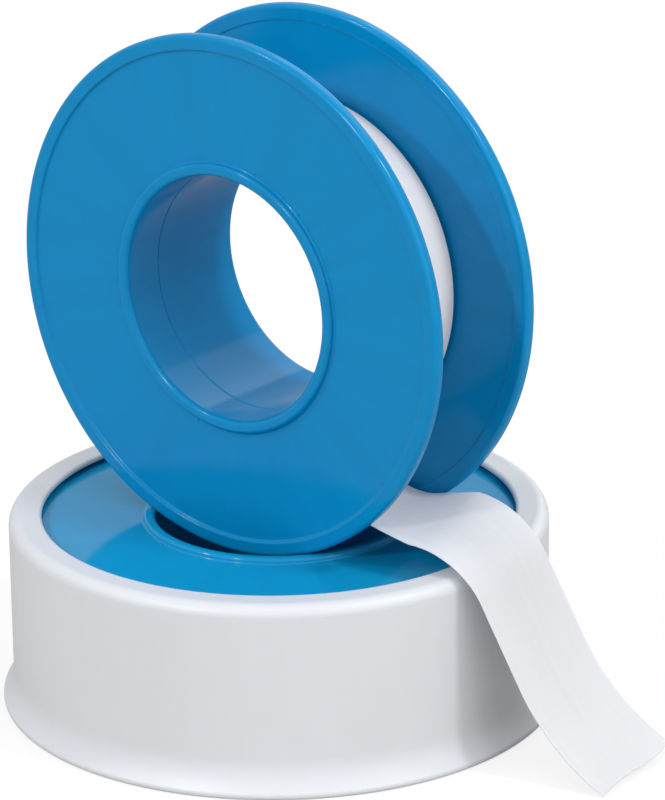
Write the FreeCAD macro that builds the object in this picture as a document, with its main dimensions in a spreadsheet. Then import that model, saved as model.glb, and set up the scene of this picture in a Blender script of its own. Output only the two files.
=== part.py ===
import FreeCAD, Part
import math
import os
import Sketcher

# Thread seal tape: a cased roll lying flat, and an open roll standing on edge in its bore with
# a length of tape run off it. Millimetres; +Z is up and the floor is Z = 0. The case's axis is
# the Z axis, the open roll's axis runs along Y, and its tape leaves towards +X.

SIZES = [
    # The spool, the same in both rolls: two flanged halves pushed together at the hub.
    ("flange_radius", 25.5, "outside radius of each flange"),
    ("bore_radius", 12.0, "hole through the hub"),
    ("hub_wall", 1.4, "hub wall, which the two halves share where they overlap"),
    ("collar_wall", 0.65, "wall of the collar that plugs into the other half"),
    ("collar_length", 3.15, "how far the collar reaches in from its flange"),
    ("socket_gap", 0.03, "radial clearance between collar and socket"),
    ("seam_gap", 0.1, "the fine line left where the halves meet in the bore"),
    ("web_thickness", 0.9, "flange between its rim and its bore lip"),
    ("rim_width", 1.6, "bead round the flange, measured along the radius"),
    ("rim_proud", 0.3, "bead above the outer face of the web"),
    ("rim_inset", 0.15, "bead above the inner face of the web"),
    ("rim_round", 0.45, "rounding of the flange's edge"),
    ("bead_round", 0.25, "rounding of the rim bead where it drops to the web"),
    ("lip_width", 1.2, "lip round the bore, measured along the radius"),
    ("lip_proud", 0.3, "lip above the rim bead"),
    ("lip_round", 0.5, "rounding of the bore lip"),
    # The tape.
    ("tape_width", 12.0, "width of the tape"),
    ("tape_side_gap", 0.35, "gap between the wound tape and each flange"),
    ("winding_fit", 0.02, "gap between the hub and the first turn"),
    ("open_winding_radius", 17.05, "tape left on the open roll"),
    ("cased_winding_radius", 17.05, "tape wound on the cased roll"),
    # The case: a cap with a turned-in ring on top and a flared foot.
    ("case_height", 19.1, "floor to the top of the ring"),
    ("case_gap", 0.15, "gap between the flanges and the case wall"),
    ("case_wall", 0.6, "side wall of the case"),
    ("case_shoulder", 1.0, "rounding between the wall and the ring"),
    ("ring_reach", 2.6, "how far the ring turns in from the inside of the wall"),
    ("ring_thickness", 0.55, "turned-in ring"),
    ("ring_round", 0.35, "rounding of the ring's inner edge"),
    ("ring_gap", 0.15, "gap between the ring and the upper rim bead"),
    ("snap_gap", 0.05, "flange passing the snap bead"),
    ("snap_drop", 0.1, "snap bead below the lower rim bead"),
    ("snap_height", 0.6, "height of the snap bead"),
    ("foot_spread", 1.05, "how far the foot flares out from the wall"),
    ("foot_wall", 1.0, "width of the foot on the floor"),
    ("foot_band", 0.6, "height of the foot's plain band"),
    ("foot_inside", 2.2, "where the inside of the wall starts to flare"),
    ("foot_round", 0.4, "rounding of the foot's lower edge"),
    ("band_round", 0.5, "rounding of the band's upper edge"),
    ("flare_top", 2.1, "where the flare meets the wall"),
    ("flare_round", 4.9, "hollow of the flare"),
    # The open roll in the bore, and the tape run off it.
    ("seat_gap", 0.3, "open flanges above the bore lip they stand on"),
    ("tape_thickness", 0.1, "thickness of the tape"),
    ("tail_gap", 0.08, "outer turn off the turns below it"),
    ("tail_wrap", 66.0, "outer turn still round the winding, in degrees"),
    ("leave_angle", 18.0, "where the tape leaves the winding, in degrees past its lowest line"),
    ("tail_fall", 4.8, "length in which the tape bends away from the winding"),
    ("tail_sag", 5.7, "length in which the sagging tape levels out"),
    ("tail_clearance", 3.15, "sagging tape above the case"),
    ("tail_knee", 9.6, "length of the bend over the edge of the case"),
    ("knee_angle", 63.5, "how steeply the tape runs down after the bend, in degrees"),
    ("knee_reach", 1.5, "end of that bend out from the case wall"),
    ("tail_flare", 13.0, "length in which the tape turns out along the floor"),
    ("flare_angle", 37.0, "how far it turns out, in degrees"),
    ("fall_twist", -4.0, "twist of the tape as it bends away, in degrees"),
    ("sag_twist", -7.0, "twist in the first half of the sag, in degrees"),
    ("level_twist", 4.0, "twist in the second half of the sag, in degrees"),
    ("run_twist", 12.0, "twist along the level run, in degrees"),
    ("knee_twist", -3.5, "twist over the edge of the case, in degrees"),
    ("flare_twist", 2.0, "twist along the floor, in degrees"),
    ("floor_gap", 0.15, "lowest corner of the tape above the floor"),
]
TAPE_STEP_DEGREES = 6.0
TAPE_STEP_LENGTH = 2.5
PLACE_TOLERANCE = 1e-4

doc = FreeCAD.newDocument("thread_seal_tape")
sheet = doc.addObject("Spreadsheet::Sheet", "Sizes")
for row, (alias, size, meaning) in enumerate(SIZES, start=1):
    sheet.set("A%d" % row, str(size))
    sheet.setAlias("A%d" % row, alias)
    sheet.set("B%d" % row, meaning)
doc.recompute()


def size(expression):
    """The value of a size, or of a sum of sizes, in the sheet."""
    return float(sheet.evalExpression(expression))


# Places that follow from the sizes, as sums of the sheet's cells.
FLANGE_INNER = "(Sizes.tape_width / 2 + Sizes.tape_side_gap)"
WEB_OUTER = "(%s + Sizes.web_thickness)" % FLANGE_INNER
RIM_INNER = "(%s - Sizes.rim_inset)" % FLANGE_INNER
RIM_OUTER = "(%s + Sizes.rim_proud)" % WEB_OUTER
LIP_OUTER = "(%s + Sizes.lip_proud)" % RIM_OUTER
RIM_START = "(Sizes.flange_radius - Sizes.rim_width)"
LIP_RADIUS = "(Sizes.bore_radius + Sizes.lip_width)"
COLLAR_RADIUS = "(Sizes.bore_radius + Sizes.collar_wall)"
SOCKET_RADIUS = "(%s + Sizes.socket_gap)" % COLLAR_RADIUS
HUB_RADIUS = "(Sizes.bore_radius + Sizes.hub_wall)"
SEAM = "(%s - Sizes.collar_length)" % FLANGE_INNER
CASE_INNER = "(Sizes.flange_radius + Sizes.case_gap)"
CASE_OUTER = "(%s + Sizes.case_wall)" % CASE_INNER
RING_UNDER = "(Sizes.case_height - Sizes.ring_thickness)"
CASED_MIDDLE = "(%s - Sizes.ring_gap - %s)" % (RING_UNDER, RIM_OUTER)
SNAP_TOP = "(%s - %s - Sizes.snap_drop)" % (CASED_MIDDLE, RIM_OUTER)
SNAP_RADIUS = "(Sizes.flange_radius + Sizes.snap_gap)"
OPENING_RADIUS = "(%s - Sizes.ring_reach)" % CASE_INNER
FOOT_RADIUS = "(%s + Sizes.foot_spread)" % CASE_OUTER
FOOT_INNER = "(%s - Sizes.foot_wall)" % FOOT_RADIUS

# The open flanges stand on the crown of the lower bore's lip. Each rim crosses that round crown
# twice, so the roll's weight lies on four points and its axis comes out at this height.
LIP_CROWN = "(Sizes.bore_radius + Sizes.lip_width / 2)"
RIM_MIDDLE = "((%s + %s) / 2)" % (RIM_INNER, RIM_OUTER)
SEAT_RISE = "sqrt(Sizes.flange_radius ^ 2 - %s ^ 2 + %s ^ 2)" % (LIP_CROWN, RIM_MIDDLE)
AXIS_HEIGHT = "(%s + %s + %s + Sizes.seat_gap)" % (CASED_MIDDLE, LIP_OUTER, SEAT_RISE)


def named(expression):
    """The same sum as the sheet itself reads it, without the sheet's name."""
    return expression.replace("Sizes.", "")


def origin_plane(body, role):
    """One of a body's own origin planes."""
    return [plane for plane in body.Origin.OriginFeatures if plane.Role == role][0]


def turned_body(label, corners):
    """A body turned about its own Z axis from an outline of (radius, height) corners."""
    body = doc.addObject("PartDesign::Body", label)
    body.Label = label
    sketch = body.newObject("Sketcher::SketchObject", label + "_outline")
    sketch.AttachmentSupport = (origin_plane(body, "XZ_Plane"), [""])
    sketch.MapMode = "FlatFace"
    points = []
    for radius, height in corners:
        points.append(FreeCAD.Vector(size(named(radius)), size(named(height)), 0))
    for index, point in enumerate(points):
        following = points[(index + 1) % len(points)]
        sketch.addGeometry(Part.LineSegment(point, following), False)
    for index, (radius, height) in enumerate(corners):
        before = (index - 1) % len(corners)
        sketch.addConstraint(Sketcher.Constraint("Coincident", before, 2, index, 1))
        across = sketch.addConstraint(
            Sketcher.Constraint("DistanceX", -1, 1, index, 1, points[index].x))
        up = sketch.addConstraint(
            Sketcher.Constraint("DistanceY", -1, 1, index, 1, points[index].y))
        sketch.setExpression("Constraints[%d]" % across, radius)
        sketch.setExpression("Constraints[%d]" % up, height)
    turn = body.newObject("PartDesign::Revolution", label + "_turn")
    turn.Profile = sketch
    turn.ReferenceAxis = (sketch, ["V_Axis"])
    turn.Angle = 360.0
    body.Tip = turn
    doc.recompute()
    return body


def round_corners(body, name, corners, radius):
    """Rounds the turned edges that lie at the given (radius, height) corners."""
    places = [(size(named(r)), size(named(z))) for r, z in corners]
    edges = []
    for number, edge in enumerate(body.Tip.Shape.Edges, start=1):
        if not isinstance(edge.Curve, Part.Circle):
            continue
        for r, z in places:
            same_radius = abs(edge.Curve.Radius - r) < PLACE_TOLERANCE
            same_height = abs(edge.Curve.Center.z - z) < PLACE_TOLERANCE
            if same_radius and same_height:
                edges.append("Edge%d" % number)
    if len(edges) != len(corners):
        raise RuntimeError("%s found %d of %d edges" % (name, len(edges), len(corners)))
    base = body.Tip
    fillet = body.newObject("PartDesign::Fillet", name)
    fillet.Base = (base, edges)
    fillet.setExpression("Radius", radius)
    body.Tip = fillet
    doc.recompute()


def stand_in_case(body):
    """Lays a spool piece flat, just under the ring of the case."""
    body.setExpression(".Placement.Base.z", CASED_MIDDLE)


def stand_open(body):
    """Stands a spool piece on edge in the lower bore, its upper side towards -Y."""
    body.Placement = FreeCAD.Placement(
        FreeCAD.Vector(0, 0, 0), FreeCAD.Rotation(FreeCAD.Vector(1, 0, 0), 90))
    body.setExpression(".Placement.Base.z", AXIS_HEIGHT)


def collar_half(label):
    """The spool half whose hub is only a short collar: the upper or front half."""
    corners = [
        ("Sizes.bore_radius", SEAM),
        (COLLAR_RADIUS, SEAM),
        (COLLAR_RADIUS, FLANGE_INNER),
        (RIM_START, FLANGE_INNER),
        (RIM_START, RIM_INNER),
        ("Sizes.flange_radius", RIM_INNER),
        ("Sizes.flange_radius", RIM_OUTER),
        (RIM_START, RIM_OUTER),
        (RIM_START, WEB_OUTER),
        (LIP_RADIUS, WEB_OUTER),
        (LIP_RADIUS, LIP_OUTER),
        ("Sizes.bore_radius", LIP_OUTER),
    ]
    body = turned_body(label, corners)
    round_corners(body, label + "_rim_round", corners[5:7], "Sizes.rim_round")
    round_corners(body, label + "_bead_round", corners[7:8], "Sizes.bead_round")
    round_corners(body, label + "_lip_round", corners[10:12], "Sizes.lip_round")
    return body


def hub_half(label):
    """The spool half that carries the hub: its open end is the socket for the collar."""
    corners = [
        ("Sizes.bore_radius", "-" + LIP_OUTER),
        (LIP_RADIUS, "-" + LIP_OUTER),
        (LIP_RADIUS, "-" + WEB_OUTER),
        (RIM_START, "-" + WEB_OUTER),
        (RIM_START, "-" + RIM_OUTER),
        ("Sizes.flange_radius", "-" + RIM_OUTER),
        ("Sizes.flange_radius", "-" + RIM_INNER),
        (RIM_START, "-" + RIM_INNER),
        (RIM_START, "-" + FLANGE_INNER),
        (HUB_RADIUS, "-" + FLANGE_INNER),
        (HUB_RADIUS, FLANGE_INNER),
        (SOCKET_RADIUS, FLANGE_INNER),
        (SOCKET_RADIUS, SEAM + " - Sizes.seam_gap"),
        ("Sizes.bore_radius", SEAM + " - Sizes.seam_gap"),
    ]
    body = turned_body(label, corners)
    round_corners(body, label + "_rim_round", corners[5:7], "Sizes.rim_round")
    round_corners(body, label + "_bead_round", corners[4:5], "Sizes.bead_round")
    round_corners(body, label + "_lip_round", corners[0:2], "Sizes.lip_round")
    return body


def winding(label, outer_radius):
    """Tape wound on the hub: smooth turns with flush edges."""
    inner_radius = "%s + Sizes.winding_fit" % HUB_RADIUS
    corners = [
        (inner_radius, "-Sizes.tape_width / 2"),
        (outer_radius, "-Sizes.tape_width / 2"),
        (outer_radius, "Sizes.tape_width / 2"),
        (inner_radius, "Sizes.tape_width / 2"),
    ]
    return turned_body(label, corners)


def case_shell(label):
    """The cap over the cased roll: wall, turned-in ring, snap bead and flared foot."""
    corners = [
        (FOOT_INNER, "0"),
        (FOOT_RADIUS, "0"),
        (FOOT_RADIUS, "Sizes.foot_band"),
        (CASE_OUTER, "Sizes.flare_top"),
        (CASE_OUTER, "Sizes.case_height"),
        (OPENING_RADIUS, "Sizes.case_height"),
        (OPENING_RADIUS, RING_UNDER),
        (CASE_INNER, RING_UNDER),
        (CASE_INNER, SNAP_TOP),
        (SNAP_RADIUS, SNAP_TOP + " - Sizes.snap_height / 2"),
        (CASE_INNER, SNAP_TOP + " - Sizes.snap_height"),
        (CASE_INNER, "Sizes.foot_inside"),
    ]
    body = turned_body(label, corners)
    round_corners(body, label + "_shoulder", corners[4:5], "Sizes.case_shoulder")
    round_corners(body, label + "_ring_round", corners[5:6], "Sizes.ring_round")
    round_corners(body, label + "_flare_round", corners[3:4], "Sizes.flare_round")
    round_corners(body, label + "_band_round", corners[2:3], "Sizes.band_round")
    round_corners(body, label + "_foot_round", corners[1:2], "Sizes.foot_round")
    return body


def turned_about(vector, axis, degrees):
    """A vector turned about an axis."""
    return FreeCAD.Rotation(axis, degrees).multVec(vector)


class Tape:
    """The middle line of a tape as it is laid out, with its heading, width and face."""

    def __init__(self, start, heading, across):
        self.point = start
        self.heading = heading
        self.across = across
        self.places = [self.place()]

    def place(self):
        return (self.point, self.across, self.across.cross(self.heading))

    def lay(self, length, bend=0.0, twist=0.0):
        """Lays a stretch that bends upwards and twists evenly, both in degrees."""
        steps = max(math.ceil(abs(bend) / TAPE_STEP_DEGREES), math.ceil(length / TAPE_STEP_LENGTH), 1)
        for _ in range(steps):
            before = self.heading
            self.heading = turned_about(self.heading, self.across, -bend / steps)
            self.across = turned_about(self.across, self.heading, twist / steps)
            middle = (before + self.heading).normalize()
            self.point = self.point + middle * (length / steps)
            self.places.append(self.place())

    def sections(self, width, thickness):
        """A closed rectangle across the tape at every place."""
        wires = []
        for point, across, face in self.places:
            side = across * (width / 2)
            skin = face * (thickness / 2)
            corners = [point - side - skin, point + side - skin]
            corners += [point + side + skin, point - side + skin]
            wires.append(Part.makePolygon(corners + corners[:1]))
        return wires


def tape_tail(label):
    """The free end: round the winding, over the edge of the case and down to the floor."""
    width = size("tape_width")
    turn_radius = size("open_winding_radius + tail_gap + tape_thickness / 2")
    wrap = size("tail_wrap")
    leave = size("leave_angle")
    axis = FreeCAD.Vector(0, 0, size(named(AXIS_HEIGHT)))
    along_y = FreeCAD.Vector(0, 1, 0)
    underside = FreeCAD.Vector(0, 0, -turn_radius)
    start = axis + turned_about(underside, along_y, wrap - leave)
    start_heading = turned_about(FreeCAD.Vector(1, 0, 0), along_y, wrap - leave)

    # Two bends take the tape from the winding down to its sag and level it out there.
    leave_point = axis + turned_about(underside, along_y, -leave)
    depth = leave_point.z - size("case_height + tail_clearance")
    bend_depth = 2 * depth + size("tail_fall") * math.radians(leave)
    slope = math.degrees(bend_depth / size("tail_fall + tail_sag"))

    def laid_out(run, drop):
        """The tape with a level run before the edge of the case and a steep run after it."""
        tape = Tape(start, start_heading, along_y)
        tape.lay(math.radians(wrap) * turn_radius, wrap)
        tape.lay(size("tail_fall"), -leave - slope, size("fall_twist"))
        tape.lay(size("tail_sag / 2"), slope / 2, size("sag_twist"))
        tape.lay(size("tail_sag / 2"), slope / 2, size("level_twist"))
        tape.lay(run, 0.0, size("run_twist"))
        tape.lay(size("tail_knee"), -size("knee_angle"), size("knee_twist"))
        knee_end = tape.point
        steep = tape.heading
        tape.lay(drop)
        tape.lay(size("tail_flare"), size("flare_angle"), size("flare_twist"))
        end = min((tape.point + tape.across * (side * width / 2)).z for side in (-1, 1))
        return tape, knee_end, steep, end

    short = laid_out(0.0, 0.0)
    run = size(named(CASE_OUTER) + " + knee_reach") - short[1].x
    tape, knee_end, steep, end = laid_out(run, 0.0)
    drop = (end - size("floor_gap + tape_thickness / 2")) / -steep.z
    tape, knee_end, steep, end = laid_out(run, drop)
    print("tape: level run %.2f mm, steep run %.2f mm, %d sections"
          % (run, drop, len(tape.places)))
    print("tape: knee ends at", [round(value, 2) for value in knee_end],
          "tape ends at", [round(value, 2) for value in tape.point])
    feature = doc.addObject("Part::Feature", label)
    feature.Label = label
    feature.Shape = Part.makeLoft(tape.sections(width, size("tape_thickness")), True, True)
    feature.Placement = FreeCAD.Placement()
    return feature


pieces = [case_shell("case_shell")]
for piece in (
    collar_half("cased_spool_upper_half"),
    hub_half("cased_spool_lower_half"),
    winding("cased_tape_winding", "Sizes.cased_winding_radius"),
):
    stand_in_case(piece)
    pieces.append(piece)
for piece in (
    collar_half("open_spool_front_half"),
    hub_half("open_spool_rear_half"),
    winding("open_tape_winding", "Sizes.open_winding_radius"),
):
    stand_open(piece)
    pieces.append(piece)
pieces.append(tape_tail("tape_tail"))
doc.recompute()

for item in doc.Objects:
    if "Invalid" in item.State or "Error" in item.State:
        raise RuntimeError("%s failed: %s" % (item.Name, item.State))
os.makedirs("parts", exist_ok=True)
for piece in pieces:
    if piece.Shape.isNull() or not piece.Shape.isValid():
        raise RuntimeError("%s has no valid shape" % piece.Label)
    if len(piece.Shape.Solids) != 1:
        raise RuntimeError("%s is not one solid" % piece.Label)
for piece in pieces:
    box = piece.Shape.BoundBox
    print("%-24s volume %9.2f  X %.2f..%.2f  Y %.2f..%.2f  Z %.2f..%.2f" % (
        piece.Label, piece.Shape.Volume, box.XMin, box.XMax, box.YMin, box.YMax, box.ZMin, box.ZMax))
    piece.Shape.exportStep("parts/%s.step" % piece.Label)
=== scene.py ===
"""Thread seal tape: a cased roll lying flat, and an open roll standing on edge in its bore.

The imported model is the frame. Each class builds one sub-assembly in metres in that frame: +Z is
up, the floor is Z = 0, the case's axis is the Z axis, the open roll's axis runs along Y, and its
loose tape leaves towards +X.
"""
from __future__ import annotations

import logging
import math
from dataclasses import dataclass
from enum import Enum

import bmesh
import bpy
from mathutils import Matrix, Quaternion, Vector, noise

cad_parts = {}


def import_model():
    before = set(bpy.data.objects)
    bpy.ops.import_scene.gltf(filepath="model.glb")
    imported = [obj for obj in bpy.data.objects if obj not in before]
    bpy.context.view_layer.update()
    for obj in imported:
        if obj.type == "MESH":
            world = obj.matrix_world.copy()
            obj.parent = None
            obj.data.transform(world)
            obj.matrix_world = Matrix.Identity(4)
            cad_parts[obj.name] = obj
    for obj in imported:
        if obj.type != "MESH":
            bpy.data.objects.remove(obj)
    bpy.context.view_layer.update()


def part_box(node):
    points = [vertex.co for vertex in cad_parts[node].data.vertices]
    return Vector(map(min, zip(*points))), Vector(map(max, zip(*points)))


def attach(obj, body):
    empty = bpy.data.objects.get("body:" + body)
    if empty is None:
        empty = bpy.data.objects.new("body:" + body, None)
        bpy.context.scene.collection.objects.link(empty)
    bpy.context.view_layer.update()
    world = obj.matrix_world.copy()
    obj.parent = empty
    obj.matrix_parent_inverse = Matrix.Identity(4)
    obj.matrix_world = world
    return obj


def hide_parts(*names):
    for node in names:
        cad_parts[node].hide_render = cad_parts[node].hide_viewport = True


LOG = logging.getLogger("seal_tape")
MM = 0.001
UNSTRETCHED = (1.0, 1.0, 1.0)
Colour = tuple[float, float, float]


class Ray(Enum):
    """The kinds of ray that a backdrop answers with its own plain white."""

    CAMERA = "Is Camera Ray"
    TRANSMISSION = "Is Transmission Ray"


class Half(Enum):
    """The two mouldings that a spool is pushed together from."""

    COLLAR = "collar"
    HUB = "hub"


def srgb(red: int, green: int, blue: int) -> Colour:
    """Turns an 8-bit screen colour into the linear values that a shader takes.

    Args:
        red: Red, 0 to 255.
        green: Green, 0 to 255.
        blue: Blue, 0 to 255.

    Returns:
        The linear colour.
    """

    def linear(level: int) -> float:
        """Turns one 8-bit level into its linear value.

        Args:
            level: The level, 0 to 255.

        Returns:
            The linear value, 0 to 1.
        """
        share = level / 255
        return share / 12.92 if share <= 0.04045 else ((share + 0.055) / 1.055) ** 2.4

    return (linear(red), linear(green), linear(blue))


def scaled(colour: Colour, factor: float) -> Colour:
    """Darkens or lightens a colour by one factor."""
    return (colour[0] * factor, colour[1] * factor, colour[2] * factor)


class Graph:
    """A short way to wire a material's nodes."""

    noise_low = 0.3
    noise_high = 0.7

    def __init__(self, material: bpy.types.Material) -> None:
        """Empties the material's tree and adds its shader.

        Args:
            material: The material to wire.
        """
        material.use_nodes = True
        self.tree = material.node_tree
        self.tree.nodes.clear()
        self.shader = self.node("ShaderNodeBsdfPrincipled")
        output = self.node("ShaderNodeOutputMaterial")
        self.link(self.shader, "BSDF", output, "Surface")

    def node(self, kind: str, **sockets: object) -> bpy.types.Node:
        """Adds a node and sets the inputs that are named.

        Args:
            kind: Blender's name for the node.
            **sockets: Input values, by name with underscores for spaces.

        Returns:
            The node.
        """
        made = self.tree.nodes.new(kind)
        for name, value in sockets.items():
            made.inputs[name.replace("_", " ")].default_value = value
        return made

    def link(self, source: bpy.types.Node, out: str | int, target: bpy.types.Node,
             into: str | int) -> None:
        """Links one node's output to another's input."""
        self.tree.links.new(source.outputs[out], target.inputs[into])

    def coordinates(self, output: str, scale: tuple[float, float, float]) -> bpy.types.Node:
        """Adds texture coordinates stretched along their axes.

        Args:
            output: The coordinate to read, such as Object or UV.
            scale: The stretch along each axis.

        Returns:
            The mapping node.
        """
        mapping = self.node("ShaderNodeMapping")
        mapping.inputs["Scale"].default_value = scale
        self.link(self.node("ShaderNodeTexCoord"), output, mapping, "Vector")
        return mapping

    def grain(self, where: bpy.types.Node, scale: float, detail: float,
              roughness: float = 0.5) -> bpy.types.Node:
        """Adds cloudy noise over some coordinates.

        Args:
            where: The mapping node that gives the coordinates.
            scale: How many clouds fit in one unit.
            detail: How many finer layers are added.
            roughness: How strong the finer layers are.

        Returns:
            The noise node.
        """
        made = self.node("ShaderNodeTexNoise", Scale=scale, Detail=detail, Roughness=roughness)
        self.link(where, "Vector", made, "Vector")
        return made

    def spread(self, source: bpy.types.Node, low: float, high: float) -> bpy.types.Node:
        """Maps the middle of a noise to a range of values.

        Args:
            source: The noise node.
            low: The value where the noise is low.
            high: The value where it is high.

        Returns:
            The node whose Result is the value.
        """
        made = self.node("ShaderNodeMapRange", From_Min=self.noise_low,
                         From_Max=self.noise_high, To_Min=low, To_Max=high)
        self.link(source, "Fac", made, "Value")
        return made

    def mixed(self, source: bpy.types.Node, first: Colour, second: Colour) -> bpy.types.Node:
        """Adds a ramp between two colours, driven by a noise.

        Args:
            source: The noise node.
            first: The colour where the noise is low.
            second: The colour where it is high.

        Returns:
            The ramp node.
        """
        made = self.node("ShaderNodeValToRGB")
        ends = zip(made.color_ramp.elements, (self.noise_low, self.noise_high), (first, second))
        for end, position, colour in ends:
            end.position = position
            end.color = (*colour, 1.0)
        self.link(source, "Fac", made, "Fac")
        return made

    def bump(self, sources: list[tuple[bpy.types.Node, float, float]]) -> None:
        """Chains height maps into the shader's normal.

        Args:
            sources: Each map with its strength and its height in metres.
        """
        before: bpy.types.Node | None = None
        for source, strength, distance in sources:
            made = self.node("ShaderNodeBump", Strength=strength, Distance=distance)
            self.link(source, "Fac", made, "Height")
            if before is not None:
                self.link(before, "Normal", made, "Normal")
            before = made
        if before is not None:
            self.link(before, "Normal", self.shader, "Normal")


@dataclass(frozen=True)
class MouldedPlastic:
    """A moulded plastic: one colour with faint flow, a soft gloss and a skin of fine grain."""

    name: str
    colour: Colour
    gloss: tuple[float, float]
    glow: float = 0.1
    glow_depth: float = 0.6 * MM
    flow: float = 0.04
    skin_height: float = 0.006 * MM
    shine: float = 0.5
    flow_stretch: tuple[float, float, float] = (0.35, 0.05, 1.0)
    cloud_scale: float = 90.0
    skin_scale: float = 2600.0
    index: float = 1.49
    glow_tint: tuple[float, float, float] = (0.8, 1.0, 1.0)

    def material(self) -> bpy.types.Material:
        """Builds the material.

        Returns:
            The material, ready for a slot.
        """
        made = bpy.data.materials.new(self.name)
        graph = Graph(made)
        around = graph.coordinates("UV", self.flow_stretch)
        solid = graph.coordinates("Object", UNSTRETCHED)
        flow = graph.grain(around, 1.0, 4.0, 0.6)
        clouds = graph.grain(solid, self.cloud_scale, 3.0)
        skin = graph.grain(solid, self.skin_scale, 2.0)
        tint = graph.mixed(flow, scaled(self.colour, 1 - self.flow),
                           scaled(self.colour, 1 + self.flow))
        graph.link(tint, "Color", graph.shader, "Base Color")
        graph.link(graph.spread(clouds, *self.gloss), "Result", graph.shader, "Roughness")
        graph.bump([(clouds, 0.25, 0.02 * MM), (flow, 0.2, 0.01 * MM),
                    (skin, 0.35, self.skin_height)])
        inputs = graph.shader.inputs
        inputs["IOR"].default_value = self.index
        inputs["Specular IOR Level"].default_value = self.shine
        inputs["Subsurface Weight"].default_value = self.glow
        inputs["Subsurface Radius"].default_value = self.glow_tint
        inputs["Subsurface Scale"].default_value = self.glow_depth
        return made


@dataclass(frozen=True)
class SealFilm:
    """Thread seal film: soft, white and waxy, drawn out in fine lines along its length."""

    name: str
    colour: Colour
    along: tuple[float, float, float]
    roughness: tuple[float, float] = (0.5, 0.66)
    tints: tuple[float, float] = (0.975, 1.02)
    soft_scale: float = 160.0
    fibre_scale: float = 3200.0
    index: float = 1.36
    sheen: float = 0.08
    sheen_roughness: float = 0.4
    glow: float = 0.8
    glow_depth: float = 0.5 * MM
    glow_tint: tuple[float, float, float] = (1.0, 1.0, 1.0)

    def material(self) -> bpy.types.Material:
        """Builds the material.

        Returns:
            The material, ready for a slot.
        """
        made = bpy.data.materials.new(self.name)
        graph = Graph(made)
        drawn = graph.grain(graph.coordinates("UV", self.along), 1.0, 5.0, 0.65)
        solid = graph.coordinates("Object", UNSTRETCHED)
        soft = graph.grain(solid, self.soft_scale, 3.0)
        fibre = graph.grain(solid, self.fibre_scale, 2.0)
        tint = graph.mixed(drawn, scaled(self.colour, self.tints[0]),
                           scaled(self.colour, self.tints[1]))
        graph.link(tint, "Color", graph.shader, "Base Color")
        graph.link(graph.spread(soft, *self.roughness), "Result", graph.shader, "Roughness")
        graph.bump([(soft, 0.3, 0.05 * MM), (drawn, 0.35, 0.02 * MM), (fibre, 0.3, 0.006 * MM)])
        inputs = graph.shader.inputs
        inputs["IOR"].default_value = self.index
        inputs["Sheen Weight"].default_value = self.sheen
        inputs["Sheen Roughness"].default_value = self.sheen_roughness
        inputs["Subsurface Weight"].default_value = self.glow
        inputs["Subsurface Radius"].default_value = self.glow_tint
        inputs["Subsurface Scale"].default_value = self.glow_depth
        return made


@dataclass(frozen=True)
class Corner:
    """One corner of a turned outline: its place and how far it is rounded."""

    radius: float
    height: float
    rounding: float = 0.0


def rounded(corners: list[Corner], steps: int = 7, hold: float = 0.05 * MM,
            most: float = 0.94) -> list[tuple[float, float]]:
    """Rounds an outline's corners and holds the flats beside them.

    Args:
        corners: The outline's corners in order, closed back to the first.
        steps: How many edges each rounding has.
        hold: How far from a rounding the flat beside it is held.
        most: The share of an edge that the roundings at its two ends may take.

    Returns:
        The outline as (radius, height) points.
    """
    spots = [Vector((corner.radius, corner.height)) for corner in corners]
    count = len(spots)
    halves: list[float] = []
    wanted: list[float] = []
    for index, (here, corner) in enumerate(zip(spots, corners)):
        back, ahead = spots[index - 1] - here, spots[(index + 1) % count] - here
        halves.append(back.angle(ahead) / 2)
        wanted.append(corner.rounding / math.tan(halves[index]))
    reaches = list(wanted)
    for index in range(count):
        edge = most * (spots[index] - spots[index - 1]).length
        total = wanted[index] + wanted[index - 1]
        if total > edge:
            for end in (index, index - 1):
                reaches[end] = min(reaches[end], wanted[end] * edge / total)
    points: list[tuple[float, float]] = []
    for index, here in enumerate(spots):
        reach = reaches[index]
        if reach <= 0.0:
            points.append(tuple(here))
            continue
        edges = (spots[index - 1] - here, spots[(index + 1) % count] - here)
        back, ahead = edges[0].normalized(), edges[1].normalized()
        radius = reach * math.tan(halves[index])
        centre = here + (back + ahead).normalized() * (radius / math.sin(halves[index]))
        first = here + back * reach - centre
        last = here + ahead * reach - centre
        if edges[0].length > reach + reaches[index - 1] + 3 * hold:
            points.append(tuple(here + back * (reach + hold)))
        for step in range(steps + 1):
            points.append(tuple(centre + first.slerp(last, step / steps) * radius))
        if edges[1].length > reach + reaches[(index + 1) % count] + 3 * hold:
            points.append(tuple(here + ahead * (reach + hold)))
    return points


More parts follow.
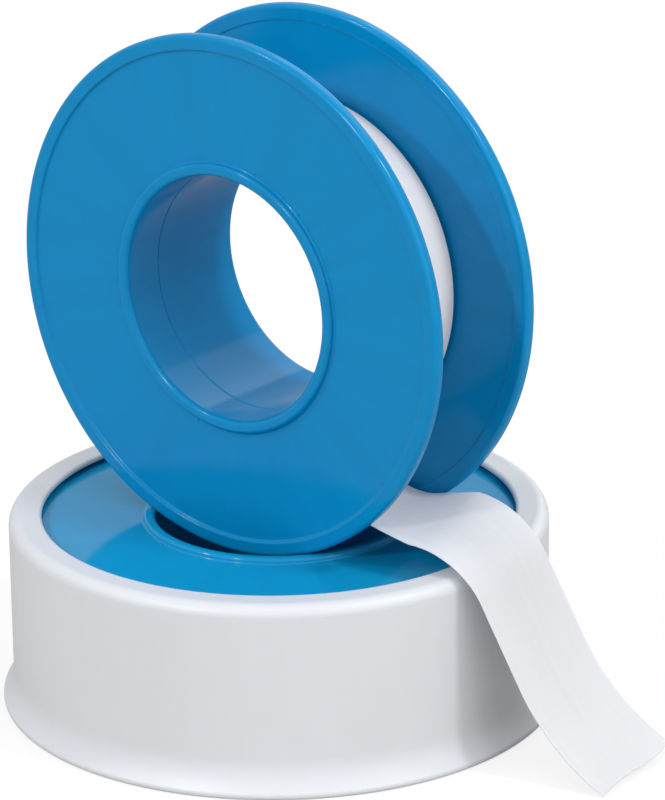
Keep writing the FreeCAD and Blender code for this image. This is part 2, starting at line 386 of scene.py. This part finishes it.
@dataclass(frozen=True)
class Turning:
    """Turns outlines into closed shells, placed where the sub-assembly stands."""

    place: Matrix
    around: int = 240
    wave_turn: float = 2.0
    wave_height: float = 2 * MM

    def shell(self, name: str, outline: list[tuple[float, float]],
              settle: float = 0.0) -> bpy.types.Object:
        """Turns one outline about the axis.

        Args:
            name: The piece's name.
            outline: Closed outline of (radius, height) points.
            settle: How far the surface sinks unevenly, for what is wound rather than moulded.

        Returns:
            The piece, with its wound length and outline length as texture coordinates in mm.
        """
        mesh = bpy.data.meshes.new(name)
        work = bmesh.new()
        rings: list[list[bmesh.types.BMVert]] = []
        for step in range(self.around):
            angle = 2 * math.pi * step / self.around
            ring = []
            for radius, height in outline:
                sink = 0.0
                if settle > 0.0:
                    spot = Vector((self.wave_turn * math.cos(angle),
                                   self.wave_turn * math.sin(angle), height / self.wave_height))
                    sink = settle * (0.5 + 0.5 * noise.noise(spot))
                at = Vector(((radius - sink) * math.cos(angle), (radius - sink) * math.sin(angle),
                             height))
                ring.append(work.verts.new(self.place @ at))
            rings.append(ring)
        lengths = [0.0]
        for first, second in zip(outline, outline[1:] + outline[:1]):
            lengths.append(lengths[-1] + math.dist(first, second) / MM)
        reach = sum(radius for radius, _ in outline) / len(outline)
        turn = 2 * math.pi * reach / MM
        layer = work.loops.layers.uv.new("laid_out")
        for step, ring in enumerate(rings):
            following = rings[(step + 1) % self.around]
            for index in range(len(outline)):
                onward = (index + 1) % len(outline)
                face = work.faces.new((ring[index], following[index], following[onward],
                                       ring[onward]))
                face.smooth = True
                spots = ((step, index), (step + 1, index), (step + 1, index + 1),
                         (step, index + 1))
                for loop, (column, row) in zip(face.loops, spots):
                    loop[layer].uv = (turn * column / self.around, lengths[row])
        bmesh.ops.recalc_face_normals(work, faces=work.faces)
        work.to_mesh(mesh)
        work.free()
        made = bpy.data.objects.new(name, mesh)
        bpy.context.collection.objects.link(made)
        return made


def dress(piece: bpy.types.Object, material: bpy.types.Material, body: str, node: str) -> None:
    """Gives a piece its finish and its body, and hides the node that it replaces.

    Args:
        piece: The piece.
        material: Its finish.
        body: The body that it rides on.
        node: The node that it replaces.
    """
    piece.data.materials.append(material)
    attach(piece, body)
    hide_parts(node)
    LOG.info("built %s on %s", piece.name, body)


@dataclass
class Spool:
    """A two-part flanged spool with a rim bead, a bore lip and a clear bore.

    Its sizes are the same in both rolls. Heights run from its middle towards the collar half.
    """

    flange_radius: float
    bore_radius: float = 12.0 * MM
    hub_wall: float = 1.4 * MM
    collar_wall: float = 0.65 * MM
    collar_length: float = 3.15 * MM
    socket_gap: float = 0.03 * MM
    seam_gap: float = 0.04 * MM
    seam_round: float = 0.12 * MM
    web_thickness: float = 0.9 * MM
    rim_width: float = 1.6 * MM
    rim_proud: float = 0.3 * MM
    rim_inset: float = 0.15 * MM
    inset_slope: float = 0.1 * MM
    inset_round: float = 0.12 * MM
    rim_slope: float = 0.17 * MM
    rim_round: float = 0.45 * MM
    bead_round: float = 0.25 * MM
    lip_width: float = 1.2 * MM
    lip_proud: float = 0.3 * MM
    lip_round: float = 0.5 * MM
    lip_foot_round: float = 0.25 * MM
    web_round: float = 0.1 * MM
    groove_half: float = 6.35 * MM
    winding_fit: float = 0.02 * MM
    pip_radius: float = 0.16 * MM
    pip_reach: float = 0.4 * MM
    pip_sink: float = 0.04 * MM
    pip_angles: tuple[float, ...] = (48.0, 73.7, 253.7)

    @property
    def web_outer(self) -> float:
        """Height of the web's outer face."""
        return self.groove_half + self.web_thickness

    @property
    def rim_outer(self) -> float:
        """Height of the rim bead's outer face."""
        return self.web_outer + self.rim_proud

    @property
    def lip_outer(self) -> float:
        """Height of the bore lip's crown."""
        return self.rim_outer + self.lip_proud

    def flange_face(self, side: float) -> list[Corner]:
        """The corners that both halves share, from the hub outwards and back to the bore.

        Args:
            side: +1 for the collar half's flange and -1 for the hub half's.

        Returns:
            The corners from the foot of the rim bead inside to the bore lip outside.
        """
        start = self.flange_radius - self.rim_width
        lip = self.bore_radius + self.lip_width
        inner = self.groove_half - self.rim_inset
        shape = [
            (start, self.groove_half, self.web_round),
            (start + self.inset_slope, inner, self.inset_round),
            (self.flange_radius, inner, self.rim_round),
            (self.flange_radius, self.rim_outer, self.rim_round),
            (start + self.rim_slope, self.rim_outer, self.bead_round),
            (start, self.web_outer, self.bead_round),
            (lip, self.web_outer, self.lip_foot_round),
            (lip, self.lip_outer, self.lip_round),
            (self.bore_radius, self.lip_outer, self.lip_round),
        ]
        return [Corner(radius, side * height, turn) for radius, height, turn in shape]

    def outline(self, half: Half) -> list[tuple[float, float]]:
        """The turned outline of one half.

        Args:
            half: Which half.

        Returns:
            The outline's points.
        """
        seam = self.groove_half - self.collar_length
        collar = self.bore_radius + self.collar_wall
        if half is Half.COLLAR:
            hub = [
                Corner(self.bore_radius, seam, self.seam_round),
                Corner(collar, seam, self.seam_round),
                Corner(collar, self.groove_half, self.web_round),
            ]
            return rounded(hub + self.flange_face(1.0))
        outer = self.bore_radius + self.hub_wall
        shoulder = seam - self.seam_gap
        hub = [
            Corner(self.bore_radius, shoulder, self.seam_round),
            Corner(collar + self.socket_gap, shoulder),
            Corner(collar + self.socket_gap, self.groove_half),
            Corner(outer, self.groove_half),
            Corner(outer, -self.groove_half, self.web_round),
        ]
        return rounded(hub + self.flange_face(-1.0))

    def add_pips(self, piece: bpy.types.Object, place: Matrix, side: float) -> None:
        """Adds the small moulding pips that stand on the web beside the bore lip.

        Args:
            piece: The half that carries them.
            place: Where the spool stands.
            side: +1 for the collar half's flange and -1 for the hub half's.
        """
        work = bmesh.new()
        work.from_mesh(piece.data)
        around = self.bore_radius + self.lip_width + self.pip_reach
        for degrees in self.pip_angles:
            angle = math.radians(degrees)
            at = Vector((around * math.cos(angle), around * math.sin(angle),
                         side * (self.web_outer - self.pip_sink)))
            made = bmesh.ops.create_uvsphere(
                work, u_segments=16, v_segments=10, radius=self.pip_radius,
                matrix=place @ Matrix.Translation(at))
            for face in {face for vert in made["verts"] for face in vert.link_faces}:
                face.smooth = True
        work.to_mesh(piece.data)
        work.free()

    def build(self, place: Matrix, body: str, names: dict[Half, str], slots: dict[Half, str],
              plastic: bpy.types.Material) -> None:
        """Builds and dresses both halves.

        Args:
            place: Where the spool stands.
            body: The body that both halves ride on.
            names: Each half's node.
            slots: Each half's material slot name; not used.
            plastic: The finish.
        """
        turning = Turning(place)
        for half, side in ((Half.COLLAR, 1.0), (Half.HUB, -1.0)):
            piece = turning.shell(names[half] + "_moulding", self.outline(half))
            self.add_pips(piece, place, side)
            dress(piece, plastic, body, names[half])


@dataclass
class Winding:
    """Tape wound on a hub: turn on turn of film with flush edges and a soft, uneven face."""

    outer_radius: float
    inner_radius: float
    half_width: float = 6.0 * MM
    edge_round: float = 0.15 * MM
    core_round: float = 0.03 * MM
    settle: float = 0.035 * MM
    rows: int = 25

    def outline(self) -> list[tuple[float, float]]:
        """The turned outline, with rows across the face so that it can settle unevenly.

        Returns:
            The outline's points.
        """
        corners = [
            Corner(self.inner_radius, -self.half_width, self.core_round),
            Corner(self.outer_radius, -self.half_width, self.edge_round),
            Corner(self.outer_radius, self.half_width, self.edge_round),
            Corner(self.inner_radius, self.half_width, self.core_round),
        ]
        points: list[tuple[float, float]] = []
        for first in rounded(corners):
            if points:
                before = points[-1]
                long_face = abs(first[1] - before[1]) > self.half_width
                if long_face and first[0] > (self.inner_radius + self.outer_radius) / 2:
                    step = (first[1] - before[1]) / self.rows
                    points += [(first[0], before[1] + step * row) for row in range(1, self.rows)]
            points.append(first)
        return points

    def build(self, place: Matrix, body: str, node: str, slot: str,
              film: bpy.types.Material) -> None:
        """Builds and dresses the winding.

        Args:
            place: Where the roll stands.
            body: The body that the winding rides on.
            node: The node that it replaces.
            slot: The winding's material slot name; not used.
            film: The finish.
        """
        piece = Turning(place).shell(node + "_turns", self.outline(), self.settle)
        dress(piece, film, body, node)


@dataclass
class Case:
    """The cap over the cased roll: a wall, a turned-in ring, a snap bead and a flared foot."""

    height: float
    foot_radius: float
    foot_spread: float = 1.05 * MM
    wall: float = 0.6 * MM
    ring_reach: float = 2.6 * MM
    ring_thickness: float = 0.55 * MM
    ring_round: float = 0.38 * MM
    shoulder: float = 1.15 * MM
    snap_top: float = 3.2 * MM
    snap_height: float = 0.6 * MM
    snap_reach: float = 0.1 * MM
    inner_round: float = 0.1 * MM
    root_round: float = 0.2 * MM
    foot_wall: float = 1.0 * MM
    foot_band: float = 0.6 * MM
    foot_inside: float = 2.2 * MM
    foot_round: float = 0.4 * MM
    hollow_round: float = 0.4 * MM
    band_round: float = 0.5 * MM
    flare_top: float = 2.1 * MM
    flare_round: float = 4.9 * MM

    def outline(self) -> list[tuple[float, float]]:
        """The turned outline of the case.

        Returns:
            The outline's points.
        """
        outside = self.foot_radius - self.foot_spread
        inside = outside - self.wall
        opening = inside - self.ring_reach
        under = self.height - self.ring_thickness
        corners = [
            Corner(self.foot_radius - self.foot_wall, 0.0, self.root_round),
            Corner(self.foot_radius, 0.0, self.foot_round),
            Corner(self.foot_radius, self.foot_band, self.band_round),
            Corner(outside, self.flare_top, self.flare_round),
            Corner(outside, self.height, self.shoulder),
            Corner(opening, self.height, self.ring_round),
            Corner(opening, under, self.inner_round),
            Corner(inside, under, self.root_round),
            Corner(inside, self.snap_top, self.inner_round),
            Corner(inside - self.snap_reach, self.snap_top - self.snap_height / 2,
                   self.inner_round),
            Corner(inside, self.snap_top - self.snap_height, self.inner_round),
            Corner(inside, self.foot_inside, self.hollow_round),
        ]
        return rounded(corners)

    def build(self, plastic: bpy.types.Material) -> None:
        """Builds and dresses the case.

        Args:
            plastic: The finish.
        """
        piece = Turning(Matrix.Identity(4)).shell("case_shell_moulding", self.outline())
        dress(piece, plastic, "case", "case_shell")


@dataclass
class TapeRun:
    """The middle line of a tape as it is laid out, with its width and the way it faces."""

    point: Vector
    heading: Vector
    across: Vector
    step: float = 0.35 * MM
    bend_step: float = 2.0

    def __post_init__(self) -> None:
        """Starts the list of places with the first one."""
        self.places: list[tuple[Vector, Vector, Vector]] = [self.place()]

    def place(self) -> tuple[Vector, Vector, Vector]:
        """The point, the way across and the way that the upper face looks."""
        return (self.point.copy(), self.across.copy(), self.heading.cross(self.across))

    def lay(self, length: float, bend: float = 0.0, twist: float = 0.0) -> None:
        """Lays a stretch that bends upwards and twists evenly.

        Args:
            length: Length of the stretch.
            bend: How far it bends upwards, in degrees.
            twist: How far it twists, in degrees.
        """
        steps = max(math.ceil(length / self.step), math.ceil(abs(bend) / self.bend_step), 1)
        for _ in range(steps):
            before = self.heading.copy()
            turn = Quaternion(self.across, math.radians(-bend / steps))
            self.heading = (turn @ self.heading).normalized()
            roll = Quaternion(self.heading, math.radians(twist / steps))
            self.across = (roll @ self.across).normalized()
            self.point = self.point + (before + self.heading).normalized() * (length / steps)
            self.places.append(self.place())


@dataclass
class LooseEnd:
    """The free end of the tape: off the winding, over the edge of the case, to the floor."""

    axis_height: float
    case_height: float
    case_radius: float
    winding_radius: float
    width: float = 12.0 * MM
    thickness: float = 0.1 * MM
    gap: float = 0.08 * MM
    wrap: float = 66.0
    leave: float = 18.0
    fall: float = 4.8 * MM
    sag: float = 5.7 * MM
    clearance: float = 3.15 * MM
    knee: float = 9.6 * MM
    knee_angle: float = 63.5
    knee_reach: float = 1.5 * MM
    flare: float = 13.0 * MM
    flare_angle: float = 37.0
    fall_twist: float = -4.0
    sag_twist: float = -7.0
    level_twist: float = 4.0
    run_twist: float = 12.0
    knee_twist: float = -3.5
    flare_twist: float = 2.0
    floor_gap: float = 0.15 * MM
    held_share: float = 0.32
    curl: float = 0.1 * MM
    curl_onset: float = 3.0
    ripple: float = 0.06 * MM
    ripple_onset: float = 4.0
    ripple_along: float = 0.05
    ripple_across: float = 1.6
    ripple_layer: float = 3.0
    tear: float = 0.22 * MM
    tear_middle: float = 0.6
    tear_ragged: float = 0.35
    tear_pitch: float = 5.0
    torn_rows: int = 6
    rows: int = 28

    def laid_out(self, run: float, drop: float) -> tuple[TapeRun, Vector, Vector]:
        """Lays the tape with a level run before the edge of the case and a steep run after it.

        Args:
            run: Length of the level run.
            drop: Length of the steep run.

        Returns:
            The tape, the point where its bend over the edge ends, and its heading there.
        """
        radius = self.winding_radius + self.gap + self.thickness / 2
        back = Quaternion(Vector((0, 1, 0)), math.radians(self.wrap - self.leave))
        axis = Vector((0, 0, self.axis_height))
        tape = TapeRun(axis + back @ Vector((0, 0, -radius)), back @ Vector((1, 0, 0)),
                       Vector((0, 1, 0)))
        leave = math.radians(self.leave)
        start = self.axis_height - radius * math.cos(leave)
        depth = start - self.case_height - self.clearance
        slope = math.degrees((2 * depth + self.fall * leave) / (self.fall + self.sag))
        tape.lay(math.radians(self.wrap) * radius, self.wrap)
        tape.lay(self.fall, -self.leave - slope, self.fall_twist)
        tape.lay(self.sag / 2, slope / 2, self.sag_twist)
        tape.lay(self.sag / 2, slope / 2, self.level_twist)
        tape.lay(run, 0.0, self.run_twist)
        tape.lay(self.knee, -self.knee_angle, self.knee_twist)
        knee_end, steep = tape.point.copy(), tape.heading.copy()
        tape.lay(drop)
        tape.lay(self.flare, self.flare_angle, self.flare_twist)
        return tape, knee_end, steep

    def places(self) -> list[tuple[Vector, Vector, Vector]]:
        """The tape's places, with both straight runs made as long as the case asks.

        Returns:
            Each place's point, way across and way up.
        """
        _, knee_end, _ = self.laid_out(0.0, 0.0)
        run = self.case_radius + self.knee_reach - knee_end.x
        tape, _, steep = self.laid_out(run, 0.0)
        point, across, _ = tape.places[-1]
        low = point.z - abs(across.z) * self.width / 2
        drop = (low - self.floor_gap - self.thickness / 2) / -steep.z
        return self.laid_out(run, drop)[0].places

    def surface(self, places: list[tuple[Vector, Vector, Vector]], side: float,
                row: int) -> list[Vector]:
        """One line of points along the tape.

        Args:
            places: The tape's places.
            side: +1 for the upper face and -1 for the lower one.
            row: Which line, from the near edge to the far edge.

        Returns:
            The line's points.
        """
        share = 2 * row / self.rows - 1
        points: list[Vector] = []
        free_from = math.ceil(self.held_share * len(places))
        for index, (point, across, face) in enumerate(places):
            free = max(0.0, (index - free_from) / (len(places) - free_from))
            lift = -self.curl * share ** 4 * min(1.0, self.curl_onset * free)
            spot = Vector((self.ripple_along * index, self.ripple_across * share,
                           self.ripple_layer))
            lift += self.ripple * noise.noise(spot) * min(1.0, self.ripple_onset * free)
            at = point + across * (share * self.width / 2)
            at += face * (lift + side * self.thickness / 2)
            points.append(at)
        heading = (points[-1] - points[-2]).normalized()
        ragged = noise.noise(Vector((self.tear_pitch * share, 0.0, 0.0)))
        torn = self.tear * (math.sin(math.pi * share) - self.tear_middle
                            + self.tear_ragged * ragged)
        for back in range(self.torn_rows):
            points[-1 - back] += heading * torn * (1 - back / self.torn_rows)
        return points

    def build(self, film: bpy.types.Material, crease: float = 40.0) -> None:
        """Builds and dresses the loose end as one closed strip of film.

        Args:
            film: The finish.
            crease: The angle in degrees from which an edge is drawn sharp.
        """
        places = self.places()
        mesh = bpy.data.meshes.new("tape_tail_film")
        work = bmesh.new()
        layer = work.loops.layers.uv.new("laid_out")
        lines = [self.surface(places, 1.0, row) for row in range(self.rows + 1)]
        lines += [self.surface(places, -1.0, row) for row in range(self.rows, -1, -1)]
        verts = [[work.verts.new(point) for point in line] for line in lines]
        length = sum((a[0] - b[0]).length for a, b in zip(places, places[1:]))
        pitch = length / (len(places) - 1) / MM
        pace = self.width / self.rows / MM
        for line in range(len(verts)):
            onward = (line + 1) % len(verts)
            for index in range(len(places) - 1):
                face = work.faces.new((verts[line][index], verts[line][index + 1],
                                       verts[onward][index + 1], verts[onward][index]))
                face.smooth = True
                spots = ((line, index), (line, index + 1), (line + 1, index + 1),
                         (line + 1, index))
                for loop, (row, column) in zip(face.loops, spots):
                    loop[layer].uv = (column * pitch, row * pace)
        for end in (0, -1):
            for row in range(self.rows):
                other = len(verts) - 1 - row
                work.faces.new((verts[row][end], verts[row + 1][end], verts[other - 1][end],
                                verts[other][end]))
        bmesh.ops.recalc_face_normals(work, faces=work.faces)
        work.edges.ensure_lookup_table()
        for edge in work.edges:
            edge.smooth = edge.calc_face_angle(0.0) < math.radians(crease)
        work.to_mesh(mesh)
        work.free()
        piece = bpy.data.objects.new("tape_tail_film", mesh)
        bpy.context.collection.objects.link(piece)
        dress(piece, film, "tape_end", "tape_tail")
        LOG.info("loose end is %.1f mm long", length / MM)


@dataclass(frozen=True)
class Lamp:
    """One square lamp: the way to it from the rolls, its side in metres and its power."""

    name: str
    direction: Vector
    side: float
    power: float

    def build(self, target: Vector, reach: float) -> None:
        """Builds the lamp, aimed at a point.

        Args:
            target: The point.
            reach: How far from the point the lamp hangs.
        """
        data = bpy.data.lights.new(self.name, "AREA")
        data.shape = "SQUARE"
        data.size = self.side
        data.energy = self.power
        lamp = bpy.data.objects.new(self.name, data)
        lamp.location = target + self.direction.normalized() * reach
        lamp.rotation_euler = self.direction.to_track_quat("Z", "Y").to_euler()
        bpy.context.collection.objects.link(lamp)


@dataclass
class Studio:
    """A plain pale floor, a white surround and soft lamps."""

    floor_half: float = 2.5
    floor_colour: Colour = (0.46, 0.44, 0.42)
    floor_seen: Colour = (0.95, 0.95, 0.95)
    floor_white: float = 0.76
    surround: float = 0.64
    target: Vector = Vector((0, 0, 0.03))
    reach: float = 1.0
    lamps: tuple[Lamp, ...] = (
        Lamp("front_key", Vector((0.03, -0.85, 0.53)), 0.05, 2.4),
        Lamp("left_key", Vector((-0.4, -0.64, 0.65)), 0.06, 1.3),
        Lamp("right_key", Vector((0.63, 0.12, 0.77)), 0.1, 2.6),
        Lamp("right_soft", Vector((0.75, -0.1, 0.65)), 0.9, 1.6),
        Lamp("front_fill", Vector((-0.2, -1.0, 0.15)), 0.8, 0.9),
        Lamp("camera_fill", Vector((0.7, -0.65, 0.35)), 0.8, 0.5),
        Lamp("right_fill", Vector((1.0, 0.05, 0.25)), 0.6, 1.5),
        Lamp("back_fill", Vector((-0.1, 1.0, 0.55)), 0.7, 1.8),
    )

    def blended(self, tree: bpy.types.NodeTree, share: bpy.types.Node, first: bpy.types.Node,
                second: bpy.types.Node) -> bpy.types.Node:
        """Adds a mix of two shaders.

        Args:
            tree: The node tree.
            share: The node whose first output is the second shader's share.
            first: The first shader.
            second: The second shader.

        Returns:
            The mix.
        """
        blend = tree.nodes.new("ShaderNodeMixShader")
        for slot, source in enumerate((share, first, second)):
            tree.links.new(source.outputs[0], blend.inputs[slot])
        return blend

    def ray_share(self, tree: bpy.types.NodeTree, *rays: Ray) -> bpy.types.Node:
        """Adds a value that is 1 for the given kinds of ray.

        Args:
            tree: The node tree.
            *rays: The kinds of ray.

        Returns:
            The node whose first output is the value.
        """
        path = tree.nodes.new("ShaderNodeLightPath")
        top = tree.nodes.new("ShaderNodeMath")
        top.operation = "MAXIMUM"
        tree.links.new(path.outputs[rays[0].value], top.inputs[0])
        tree.links.new(path.outputs[rays[-1].value], top.inputs[1])
        return top

    def build_floor(self) -> None:
        """Builds the floor, which looks near white and keeps the shadow."""
        mesh = bpy.data.meshes.new("studio_floor")
        half = self.floor_half
        mesh.from_pydata([(-half, -half, 0), (half, -half, 0), (half, half, 0), (-half, half, 0)],
                         [], [(0, 1, 2, 3)])
        floor = bpy.data.objects.new("studio_floor", mesh)
        bpy.context.collection.objects.link(floor)
        made = bpy.data.materials.new("studio_floor_white")
        made.use_nodes = True
        tree = made.node_tree
        tree.nodes.clear()
        seen = self.ray_share(tree, Ray.CAMERA)
        paints = []
        for colour in (self.floor_colour, self.floor_seen):
            paint = tree.nodes.new("ShaderNodeBsdfDiffuse")
            paint.inputs["Color"].default_value = (*colour, 1.0)
            paints.append(paint)
        board = self.blended(tree, seen, *paints)
        white = tree.nodes.new("ShaderNodeEmission")
        share = tree.nodes.new("ShaderNodeMath")
        share.operation = "MULTIPLY"
        share.inputs[1].default_value = self.floor_white
        tree.links.new(seen.outputs[0], share.inputs[0])
        output = tree.nodes.new("ShaderNodeOutputMaterial")
        tree.links.new(self.blended(tree, share, board, white).outputs[0],
                       output.inputs["Surface"])
        mesh.materials.append(made)

    def build_surround(self) -> None:
        """Builds the world: white to the camera, and an even grey light on the object."""
        world = bpy.data.worlds.new("studio_surround")
        bpy.context.scene.world = world
        world.use_nodes = True
        tree = world.node_tree
        tree.nodes.clear()
        glows = []
        for strength in (self.surround, 1.0):
            glow = tree.nodes.new("ShaderNodeBackground")
            glow.inputs["Color"].default_value = (1.0, 1.0, 1.0, 1.0)
            glow.inputs["Strength"].default_value = strength
            glows.append(glow)
        share = self.ray_share(tree, Ray.CAMERA, Ray.TRANSMISSION)
        output = tree.nodes.new("ShaderNodeOutputWorld")
        tree.links.new(self.blended(tree, share, *glows).outputs[0], output.inputs["Surface"])

    def build(self) -> None:
        """Builds the floor, the surround and the lamps."""
        self.build_floor()
        self.build_surround()
        for lamp in self.lamps:
            lamp.build(self.target, self.reach)


@dataclass
class PhotoCamera:
    """The camera, standing where the photograph was taken from."""

    azimuth: float = 39.46
    elevation: float = 19.84
    roll: float = -0.73
    distance: float = 461.6 * MM
    focal_pixels: float = 4800.0
    photo_height: float = 800.0
    sensor: float = 36.0
    clip_start: float = 0.01
    aim: Vector = Vector((4.894 * MM, 2.485 * MM, 30.297 * MM))

    def build(self) -> None:
        """Builds the camera and makes it the scene's own."""
        side, lift = math.radians(self.azimuth), math.radians(self.elevation)
        back = Vector((math.sin(side) * math.cos(lift), -math.cos(side) * math.cos(lift),
                       math.sin(lift)))
        right = Vector((math.cos(side), math.sin(side), 0.0))
        upward = back.cross(right)
        turn = Quaternion(back, math.radians(self.roll))
        right, upward = turn @ right, turn @ upward
        data = bpy.data.cameras.new("photo_camera")
        data.sensor_width = self.sensor
        data.lens = self.focal_pixels * self.sensor / self.photo_height
        data.clip_start = self.clip_start
        camera = bpy.data.objects.new("photo_camera", data)
        axes = Matrix((right, upward, back)).transposed().to_4x4()
        camera.matrix_world = Matrix.Translation(self.aim + back * self.distance) @ axes
        bpy.context.collection.objects.link(camera)
        bpy.context.scene.camera = camera


def main() -> None:
    """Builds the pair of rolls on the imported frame, then the studio and the camera."""
    logging.basicConfig(level=logging.INFO, format="%(message)s")
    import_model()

    upper_low, upper_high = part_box("cased_spool_upper_half")
    lower_low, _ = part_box("cased_spool_lower_half")
    front_low, front_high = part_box("open_spool_front_half")
    turns_low, turns_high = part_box("open_tape_winding")
    cased_low, cased_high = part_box("cased_tape_winding")
    case_low, case_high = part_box("case_shell")

    spool = Spool(flange_radius=(upper_high.x - upper_low.x) / 2)
    cased_place = Matrix.Translation((0, 0, (lower_low.z + upper_high.z) / 2))
    axis_height = (front_low.z + front_high.z) / 2
    open_place = Matrix.Translation((0, 0, axis_height)) @ Matrix.Rotation(math.pi / 2, 4, "X")
    case = Case(height=case_high.z - case_low.z, foot_radius=(case_high.x - case_low.x) / 2)
    core_radius = spool.bore_radius + spool.hub_wall + spool.winding_fit

    # The cased roll's blue is lighter and more cyan than the open roll's blue, though both spools
    # are one plastic: this is painted top light on the cased roll's upward faces.
    cased_blue_painted_light = MouldedPlastic("cased_blue_plastic", srgb(12, 143, 193), (0.08, 0.12), shine=0.24)
    open_blue = MouldedPlastic("open_blue_plastic", srgb(3, 131, 187), (0.13, 0.19), shine=0.2)
    white = MouldedPlastic("case_white_plastic", srgb(211, 214, 219), (0.34, 0.46), 0.25,
                           0.9 * MM, 0.008)
    wound = SealFilm("wound_film", srgb(234, 232, 232), (0.02, 2.2, 1.0))
    loose = SealFilm("loose_film", srgb(211, 213, 219), (0.03, 1.4, 1.0))
    wound_film = wound.material()
    blue_cased_painted_light, blue_open = cased_blue_painted_light.material(), open_blue.material()

    case.build(white.material())
    spool.build(cased_place, "cased_spool",
                {Half.COLLAR: "cased_spool_upper_half", Half.HUB: "cased_spool_lower_half"},
                {Half.COLLAR: "cased_upper_blue_plastic", Half.HUB: "cased_lower_blue_plastic"},
                blue_cased_painted_light)
    Winding((cased_high.x - cased_low.x) / 2, core_radius).build(
        cased_place, "cased_spool", "cased_tape_winding", "cased_tape", wound_film)
    spool.build(open_place, "open_spool",
                {Half.COLLAR: "open_spool_front_half", Half.HUB: "open_spool_rear_half"},
                {Half.COLLAR: "open_front_blue_plastic", Half.HUB: "open_rear_blue_plastic"},
                blue_open)
    Winding((turns_high.x - turns_low.x) / 2, core_radius).build(
        open_place, "open_spool", "open_tape_winding", "open_tape", wound_film)
    LooseEnd(axis_height=axis_height, case_height=case.height,
             case_radius=case.foot_radius - case.foot_spread,
             winding_radius=(turns_high.x - turns_low.x) / 2).build(loose.material())

    Studio().build()
    PhotoCamera().build()
    bpy.context.scene.view_settings.view_transform = "Standard"


if __name__ == "__main__":
    main()
